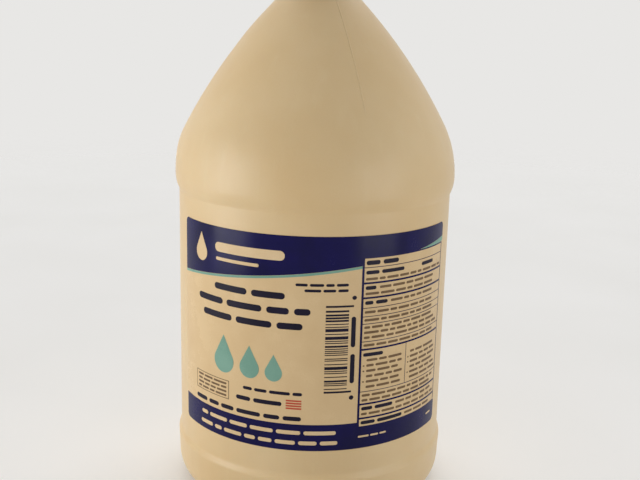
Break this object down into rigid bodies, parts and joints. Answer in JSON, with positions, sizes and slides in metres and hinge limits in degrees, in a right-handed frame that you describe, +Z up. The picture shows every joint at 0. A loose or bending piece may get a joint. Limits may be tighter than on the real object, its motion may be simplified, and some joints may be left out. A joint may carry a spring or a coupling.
{
  "type": "handled solution jug",
  "caption": "Round blow-moulded jug with a tapering shoulder, rear loop handle, printed front label and ribbed vented screw cap, for storing and pouring liquid.",
  "frame": {"origin": "centre of the standing plane under the base", "axes": "+Z up through the neck, +Y toward the handle, -Y toward the front mould seam"},
  "size_m": [0.155, 0.155, 0.3],
  "materials": {
    "bottle": "satin cream polyethylene",
    "label": "satin printed film",
    "cap": "off-white polypropylene",
    "band": "off-white polypropylene",
    "liner": "white polyethylene foam",
    "membrane": "white breathable film"
  },
  "bodies": {
    "bottle": {"bottle_body": "bottle", "front_label": "label"},
    "seal": {"cap_liner": "liner", "vent_membrane": "membrane"},
    "cap": {"screw_cap": "cap"},
    "band": {"tamper_band": "band"}
  },
  "joints": [
    {"name": "cap_lift", "type": "slide", "parent": "bottle", "child": "seal", "axis": [0, 0, 1], "range_m": [0, 0.034]},
    {"name": "cap_turn", "type": "hinge", "parent": "seal", "child": "cap", "pos_m": [0, 0, 0.292], "axis": [0, 0, 1], "range_deg": [0, 2880]},
    {"name": "band_spin", "type": "hinge", "parent": "bottle", "child": "band", "pos_m": [0, 0, 0.2835], "axis": [0, 0, 1], "continuous": true}
  ],
  "couplings": [
    {"joint": "cap_lift", "follows": "cap_turn", "m_per_rad": 0.0006737}
  ]
}
